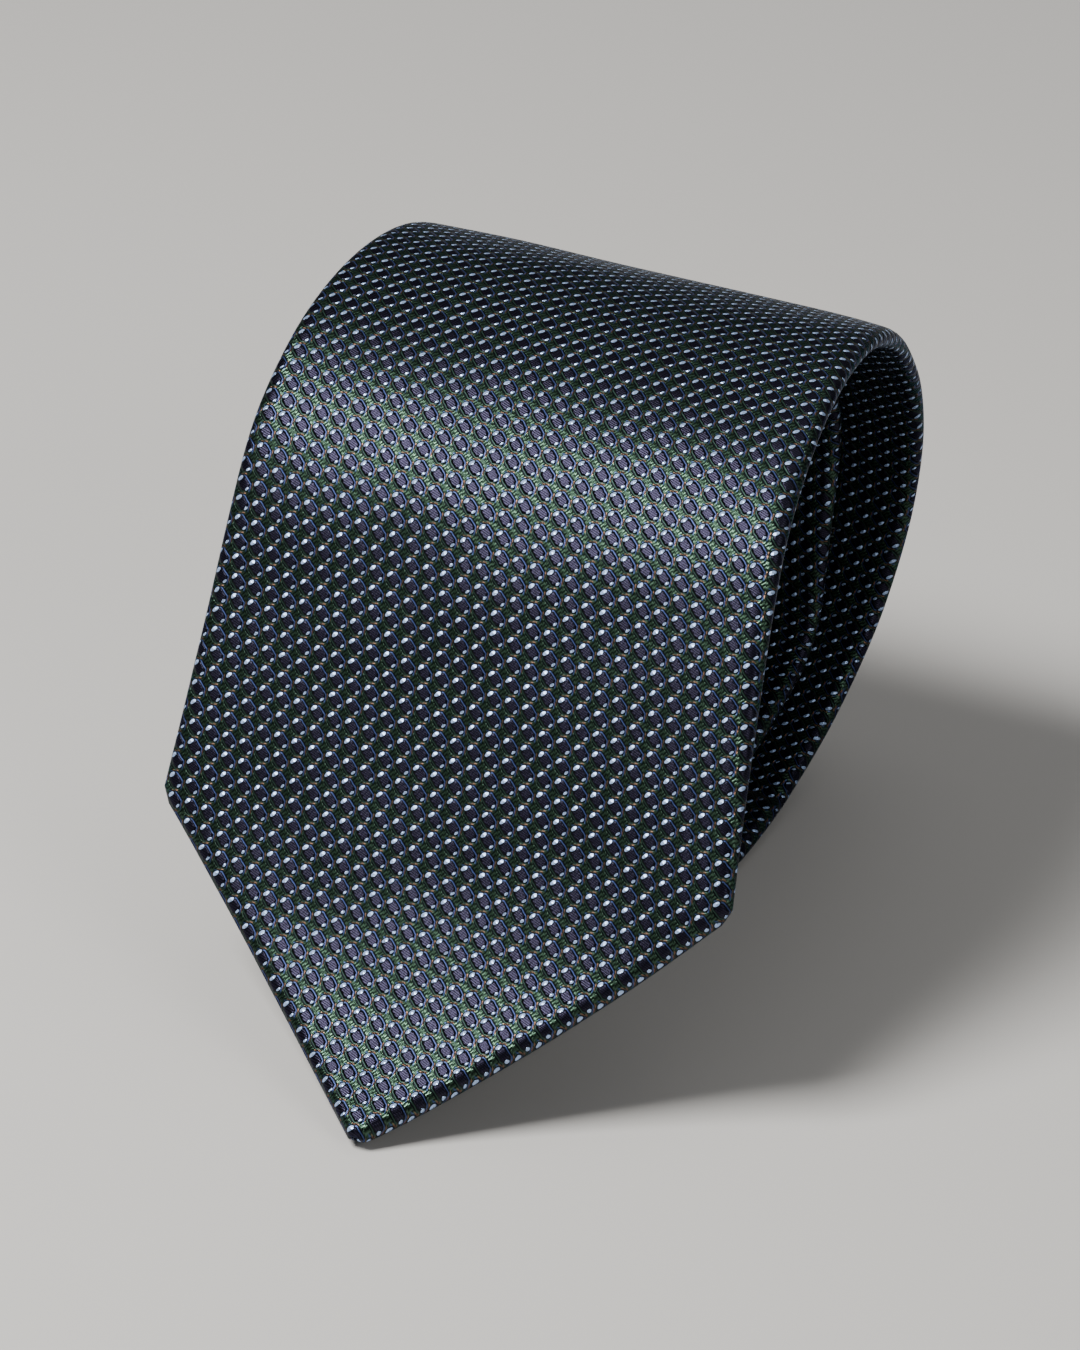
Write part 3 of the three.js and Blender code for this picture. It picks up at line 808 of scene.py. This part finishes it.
# Where each part fades in and out, as shares of its half size.
BODY_FADE = (0.98, 0.84)
GLINT_STARTS = (1.12, 1.2)
GLINT_ENDS = (1.44, 1.34)
CLEAR_FADE = (0.98, 1.1)
DOT_FADE = (1.12, 0.88)
DOT_SHADE_FADE = (1.6, 1.3)
HUMP_FADE = (1.3, 0.75)
UPPER_FADE = (-0.1, 0.12)  # mm on each side of the figure's long axis
RIB_PITCH = 0.42
YARN_PITCH = 0.26
WEAVE_SHAKE = 0.22  # how far the yarns stray from the lattice
SILK_RELIEF = 0.16

GROUND_DARK, GROUND_LIGHT = srgb(29, 41, 33), srgb(62, 85, 69)
COPPER = srgb(122, 86, 68)
# painted shade: near black, the shade in the gap round each raised figure
FIGURE_SHADE = srgb(4, 4, 6)
# painted glint: a thin ring at each figure's edge in the threads' own colours, the upper side, which faces
# the light, painted bluer and lighter than the lower side
LOWER_GLINT, LIT_SIDE_GLINT = srgb(44, 66, 56), srgb(62, 76, 122)
FIGURE_DARK, FIGURE_LIGHT = srgb(24, 22, 32), srgb(43, 40, 56)
# painted shade: the dark ring round each light float
DOT_SHADE = srgb(12, 13, 18)
DOT = srgb(182, 208, 250)
DULLED = srgb(24, 26, 30)
# rubbed wear and painted sheen: the grey that the fold edges are lightened towards
RUBBED_AND_SHEEN = srgb(62, 66, 68)
GLANCING = srgb(150, 160, 180)


def wrapped(value, pitch, shift):
    """The distance from the nearest lattice line, either side of it."""
    turns = value / pitch + shift
    return (turns - turns.apply("ROUND")) * pitch


def jacquard():
    """Green ribbed ground with raised violet figures, each ringed with painted shade, edged with a painted
    glint in the threads' own colours, and tipped with two floats ringed with painted shade.
    """
    cloth = Finish("patterned_silk")
    u, s = cloth.map("flat")
    shake = (cloth.noise(u, s, 0.9) - 0.5) * WEAVE_SHAKE
    p = (u - s) * math.sqrt(0.5) + shake
    q = (u + s) * math.sqrt(0.5) + shake
    near = [(wrapped(p, MOTIF_LONG, shift), wrapped(q, MOTIF_WIDE, shift)) for shift in (0.0, 0.5)]
    first_near = (near[0][0].size() / MOTIF_LONG + near[0][1].size() / MOTIF_WIDE).apply("LESS_THAN", 0.5)
    dp, dq = (b + (a - b) * first_near for a, b in zip(*near))
    long, wide = dp.size(), dq.size()

    long_part, wide_part = long / BODY_HALF_LONG, wide / BODY_HALF_WIDE
    hexagon = (long_part * 0.62 + wide_part * 0.55).apply("MAXIMUM", wide_part)
    body = hexagon.ramp(*BODY_FADE)
    edge = hexagon.ramp(*GLINT_STARTS) * hexagon.ramp(*GLINT_ENDS)
    around_long, around_wide = long / RIM_HALF_LONG, wide / RIM_HALF_WIDE
    around = (around_long * around_long + around_wide * around_wide).apply("SQRT")
    clear = around.ramp(*CLEAR_FADE)
    upper = dq.ramp(*UPPER_FADE)

    def round_dot(at, radius):
        along = (dp - at) * 1.25
        return (along * along + dq * dq * 0.46).apply("SQRT") / radius

    dots = round_dot(BIG_DOT_AT, BIG_DOT).apply("MINIMUM", round_dot(SMALL_DOT_AT, SMALL_DOT))
    dot = dots.ramp(*DOT_FADE)
    dot_shade_ring = dots.ramp(*DOT_SHADE_FADE)
    beside_strip = (wide - STRIP_AT).size()
    strip = beside_strip.ramp(0.2, 0.1) * long.ramp(STRIP_FROM, STRIP_FROM + 0.2) * long.ramp(STRIP_TO, 2.0)

    ribs = (dp * 0.9 + dq * 0.2).wave(RIB_PITCH)
    yarns = (q * 0.8 - p * 0.35).wave(YARN_PITCH)
    weft = p.wave(YARN_PITCH * 0.8)
    shade = cloth.noise(u, s, 0.05, 3.0)

    ground = cloth.mix(ribs.ramp(0.1, 0.8), GROUND_DARK, GROUND_LIGHT)
    copper = cloth.mix(strip * (weft * 0.3 + 0.7), ground, COPPER)
    # painted shade: a near-black ring round each raised figure, between the figure and the ground, broken by
    # the copper strips
    shade_ringed = cloth.mix(clear.apply("MAXIMUM", strip * 0.8), FIGURE_SHADE, copper)
    # painted glint: a thin ring round each figure, bluer and lighter on the upper side, which faces the
    # light, and green on the lower side
    glint_colour = cloth.mix(upper, LOWER_GLINT, LIT_SIDE_GLINT)
    glinted = cloth.mix(edge * 0.75, shade_ringed, glint_colour)
    figure = cloth.mix(yarns, FIGURE_DARK, FIGURE_LIGHT)
    worked = cloth.mix(body, glinted, figure)
    # painted shade: a dark ring round each light float
    dot_shaded = cloth.mix(dot_shade_ring, worked, DOT_SHADE)
    dotted = cloth.mix(dot, dot_shaded, DOT)
    aged = cloth.mix((shade - 0.35) * 0.4, dotted, DULLED)
    # rubbed wear and painted sheen: the fold edges are lightened towards grey in patches, partly wear and
    # partly a painted sheen on the ridges
    wear = cloth.map("wear")[0]
    patchy = cloth.noise(u, s, 0.6).ramp(0.35, 0.7)
    cloth.colour(cloth.mix(wear * 0.2 * patchy, aged, RUBBED_AND_SHEEN))

    hump = hexagon.ramp(*HUMP_FADE)
    height = hump + dot * 0.9 + clear * (ribs * 0.3 + 0.25) + yarns * body * 0.1 + weft * 0.06
    cloth.relief(height, 1.0, SILK_RELIEF)
    cloth.link(body * -0.08 + clear * -0.06 + dot * -0.04 + ribs * -0.03 + 0.37, "Roughness")
    cloth.link(body * 0.3 + clear * 0.4 + dot * -0.2 + 0.55, "Metallic")
    cloth.set(Sheen_Weight=0.02, Sheen_Roughness=0.4, Specular_IOR_Level=0.3, Specular_Tint=GLANCING)
    return cloth.material


def tipping_satin():
    satin = Finish("tipping_silk")
    u, s = satin.map("flat")
    twill = (u * 0.9 + s * 0.45).wave(0.34)
    yarn = s.wave(0.2)
    cloudy = satin.noise(u, s, 0.11, 3.0)
    base = satin.mix(twill, srgb(16, 26, 34), srgb(40, 58, 68))
    satin.colour(satin.mix(cloudy.ramp(0.3, 0.8) * 0.35, base, srgb(58, 76, 84)))
    satin.relief(twill + yarn * 0.3 + cloudy, 0.5, 0.06)
    satin.link(cloudy * 0.12 + 0.3, "Roughness")
    satin.set(Metallic=0.15, Sheen_Weight=0.1)
    return satin.material


def brushed_wool():
    wool = Finish("wool_interlining")
    u, s = wool.map("flat")
    warp, weft = u.wave(0.9), s.wave(0.9)
    fuzz = wool.noise(u, s, 2.4, 5.0)
    tufts = wool.noise(u, s, 0.35, 3.0)
    base = wool.mix(fuzz, srgb(158, 150, 134), srgb(226, 219, 203))
    wool.colour(wool.mix(tufts.ramp(0.45, 0.75) * 0.3, base, srgb(190, 182, 164)))
    wool.relief(warp * weft + fuzz * 1.6 + tufts, 0.9, 0.2)
    wool.link(fuzz * 0.1 + 0.85, "Roughness")
    wool.set(Sheen_Weight=0.5, Sheen_Roughness=0.7)
    return wool.material


def label_tape():
    """Blank woven tape with a plain woven border line."""
    tape = Finish("label_tape")
    u, s = tape.map("flat")
    warp, weft = u.wave(0.22), s.wave(0.3)
    from_side = (u.size() - (LABEL_WIDTH / 2 - 1.3)).size()
    from_middle = (s - (LABEL_AT + LABEL_LENGTH / 2)).size()
    from_end = (from_middle - (LABEL_LENGTH / 2 - 2.2)).size()
    inside = u.size().ramp(LABEL_WIDTH / 2 - 1.1, LABEL_WIDTH / 2 - 1.2)
    within = from_middle.ramp(LABEL_LENGTH / 2 - 2.0, LABEL_LENGTH / 2 - 2.1)
    border = (from_side.ramp(0.22, 0.12) * within).apply("MAXIMUM", from_end.ramp(0.22, 0.12) * inside)
    base = tape.mix(warp * weft, srgb(16, 19, 27), srgb(40, 46, 60))
    tape.colour(tape.mix(border * (weft * 0.4 + 0.6), base, srgb(150, 150, 158)))
    tape.relief(warp + weft * 0.8 + border * 1.5, 0.6, 0.05)
    tape.link(weft * 0.1 + 0.45, "Roughness")
    tape.set(Sheen_Weight=0.1)
    return tape.material


def silk_thread():
    thread = Finish("sewing_thread")
    around, run = thread.map("flat")
    ply = (around + run * 1.6).wave(0.5)
    fibre = thread.noise(around, run, 6.0, 3.0)
    thread.colour(thread.mix(ply, srgb(16, 24, 28), srgb(66, 84, 88)))
    thread.relief(ply + fibre * 0.4, 0.7, 0.05)
    thread.link(fibre * 0.15 + 0.35, "Roughness")
    thread.set(Sheen_Weight=0.1)
    return thread.material


SILK = jacquard()
SATIN = tipping_satin()
WOOL = brushed_wool()
LABEL = label_tape()
THREAD = silk_thread()

# ---- Assembly ----------------------------------------------------------------
OUTER_STEP = 2.2  # the length of cloth between two cross-sections
INNER_STEP = 3.2
NECK_STEP = 3.5
TAIL_STEP = 2.5
WOOL_END = 4.0  # how far the wool stops short of each point
WOOL_THICKNESS = 0.9
WOOL_POINTS = 15
LINING_THICKNESS = 0.24
LINING_DEPTH = THICKNESS - CLOTH - 0.14
BLADE_LINING_POINTS = 25
TAIL_LINING_POINTS = 17
TUCK = 1.0  # how far each lining runs on under the silk
WOOL_ROOM = 1.6  # what the silk's fold leaves free on each side of the wool
WOOL_LEAST = 0.6
LINING_ROOM = 4.5
LINING_UNDER_FLAP = 3.0
SLIP_FROM_OPENING = 8.0  # the slip stitches start this far from the blade's opening
SLIP_TO_LOOP_END = 2.0
SLIP_FROM_LOOP_END = 4.0
SLIP_TO_OPENING = 6.0
HEM_STITCH_FROM_HEM = 1.0
HEM_STITCH_TO_SEAM = 3.0


def on_roll(piece, *nodes):
    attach(piece, "roll")
    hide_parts(*nodes)
    return piece


def on_flap(piece, *nodes):
    """A piece of the blade's front end, the part that bends up at the roll's shoulder; here it is baked in
    place with no hinge, and the CAD parts it replaces are hidden.
    """
    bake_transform(piece)
    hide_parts(*nodes)
    return piece


on_flap(cloth_shell("blade_front", 0.0, LOOP_END, OUTER_STEP), "blade_shell_front")
on_roll(cloth_shell("blade_inner", LOOP_END + LOOP_GAP, BLADE_SEAM_AT - SEAM_GAP, INNER_STEP),
        "blade_shell_roll")
on_roll(cloth_shell("neck", BLADE_SEAM_AT + SEAM_GAP, TAIL_SEAM_AT - SEAM_GAP, NECK_STEP), "neck_shell")
on_roll(cloth_shell("tail", TAIL_SEAM_AT + SEAM_GAP, TIE_LENGTH, TAIL_STEP), "tail_shell")


def wool_reach(s):
    return np.maximum(WOOL_LEAST, half_width(s) - CLOTH - WOOL_ROOM)


def lining_reach(s):
    return np.minimum(flap_edge(s) + LINING_UNDER_FLAP, half_width(s) - LINING_ROOM)


def wool(name, start, end):
    return inner_slab(name, start, end, wool_reach, THICKNESS / 2, WOOL_THICKNESS,
                      WOOL_POINTS, WOOL)


def lining(name, start, end, points):
    return inner_slab(name, start, end, lining_reach, LINING_DEPTH, LINING_THICKNESS,
                      points, SATIN)


TAIL_SEAM_END = TIE_LENGTH - TAIL_OPENING
on_flap(wool("wool_front", WOOL_END, LOOP_END), "interlining_front")
on_roll(wool("wool_roll", LOOP_END + LOOP_GAP, TIE_LENGTH - WOOL_END), "interlining_roll")
on_flap(lining("blade_lining", BLADE_HEM - TUCK, BLADE_OPENING + TUCK, BLADE_LINING_POINTS), "blade_tipping")
on_roll(lining("tail_lining", TAIL_SEAM_END - TUCK, TIE_LENGTH - TAIL_HEM, TAIL_LINING_POINTS),
        "tail_tipping")

on_flap(slip_stitches("slip_stitches_front", BLADE_OPENING + SLIP_FROM_OPENING, LOOP_END - SLIP_TO_LOOP_END),
        "slip_stitch_front")
on_roll(slip_stitches("slip_stitches_roll", LOOP_END + SLIP_FROM_LOOP_END, TAIL_SEAM_END - SLIP_TO_OPENING),
        "slip_stitch_roll")
on_flap(bar_tack("blade_end_tack", BLADE_OPENING), "blade_bar_tack")
on_roll(bar_tack("tail_end_tack", TAIL_SEAM_END - TACK_LENGTH), "tail_bar_tack")
on_roll(piecing_seam("blade_neck_seam_stitches", BLADE_SEAM_AT), "blade_neck_seam")
on_roll(piecing_seam("neck_tail_seam_stitches", TAIL_SEAM_AT), "neck_tail_seam")
on_roll(keeper_loop(), "keeper_loop")
on_flap(care_label(), "care_label")
on_flap(care_label_stitches(), "care_label_stitch")
blade_hem = (BLADE_HEM + HEM_STITCH_FROM_HEM, BLADE_OPENING - HEM_STITCH_TO_SEAM)
tail_hem = (TAIL_SEAM_END + HEM_STITCH_TO_SEAM, TIE_LENGTH - TAIL_HEM - HEM_STITCH_FROM_HEM)
for side_name, side in (("left", -1), ("right", 1)):
    on_flap(hem_stitches(f"blade_hem_stitches_{side_name}", side, *blade_hem),
            f"blade_hem_stitch_{side_name}")
    on_roll(hem_stitches(f"tail_hem_stitches_{side_name}", side, *tail_hem), f"tail_hem_stitch_{side_name}")
    on_roll(keeper_stitches(f"keeper_stitches_{side_name}", side), f"keeper_stitch_{side_name}")


# ---- Stage, light and camera -------------------------------------------------
FLOOR_REACH = 3.0
FLOOR_DROP = 0.0002  # keeps the floor just clear of the cloth that rests on it


def pale_floor():
    finish = Finish("pale_floor")
    finish.set(Base_Color=srgb(206, 203, 198), Roughness=0.75, Specular_IOR_Level=0.2)
    mesh = bpy.data.meshes.new("floor")
    corners = [(x * FLOOR_REACH, y * FLOOR_REACH, 0) for x, y in ((-1, -1), (1, -1), (1, 1), (-1, 1))]
    mesh.from_pydata(corners, [], [(0, 1, 2, 3)])
    mesh.materials.append(finish.material)
    floor = bpy.data.objects.new("floor", mesh)
    floor.location.z = -FLOOR_DROP
    bpy.context.scene.collection.objects.link(floor)


def soft_light(name, towards, distance, size, power):
    """A square light that faces the middle of the roll from a direction."""
    middle = (CAD_BOX[0] + CAD_BOX[1]) / 2
    light = bpy.data.lights.new(name, "AREA")
    light.size, light.energy = size, power
    lamp = bpy.data.objects.new(name, light)
    direction = Vector(towards).normalized()
    lamp.location = middle + direction * distance
    lamp.rotation_euler = direction.to_track_quat("Z", "Y").to_euler()
    bpy.context.scene.collection.objects.link(lamp)


SKY = (0.9, 0.93, 1.0, 1.0)
SKY_STRENGTH = 0.1


def studio():
    world = bpy.data.worlds.new("studio")
    world.use_nodes = True
    background = world.node_tree.nodes["Background"]
    background.inputs["Color"].default_value = SKY
    background.inputs["Strength"].default_value = SKY_STRENGTH
    bpy.context.scene.world = world
    soft_light("key", (-0.36, -0.42, 0.83), distance=0.9, size=0.32, power=13.0)
    soft_light("overhead", (0.1, 0.35, 1.0), distance=1.2, size=0.8, power=1.9)
    soft_light("right_fill", (0.75, -0.42, 0.55), distance=1.1, size=0.4, power=2.2)


CAMERA_AZIMUTH = 25.2
CAMERA_ELEVATION = 28.75
CAMERA_ROLL = 1.86
CAMERA_DISTANCE = 1.053
CAMERA_LENS = 186.7
SENSOR_HEIGHT = 36.0
CAMERA_TARGET = Vector((-0.0337, 0.0627, 0.0))


def camera():
    view = bpy.data.cameras.new("camera")
    view.sensor_fit, view.sensor_height, view.lens = "VERTICAL", SENSOR_HEIGHT, CAMERA_LENS
    eye = bpy.data.objects.new("camera", view)
    across, up = math.radians(CAMERA_AZIMUTH), math.radians(CAMERA_ELEVATION)
    back = Vector((math.sin(across) * math.cos(up), -math.cos(across) * math.cos(up), math.sin(up)))
    eye.location = CAMERA_TARGET + back * CAMERA_DISTANCE
    upright = back.to_track_quat("Z", "Y")
    eye.rotation_mode = "QUATERNION"
    eye.rotation_quaternion = upright @ Quaternion((0, 0, 1), math.radians(CAMERA_ROLL))
    bpy.context.scene.collection.objects.link(eye)
    bpy.context.scene.camera = eye


pale_floor()
studio()
camera()
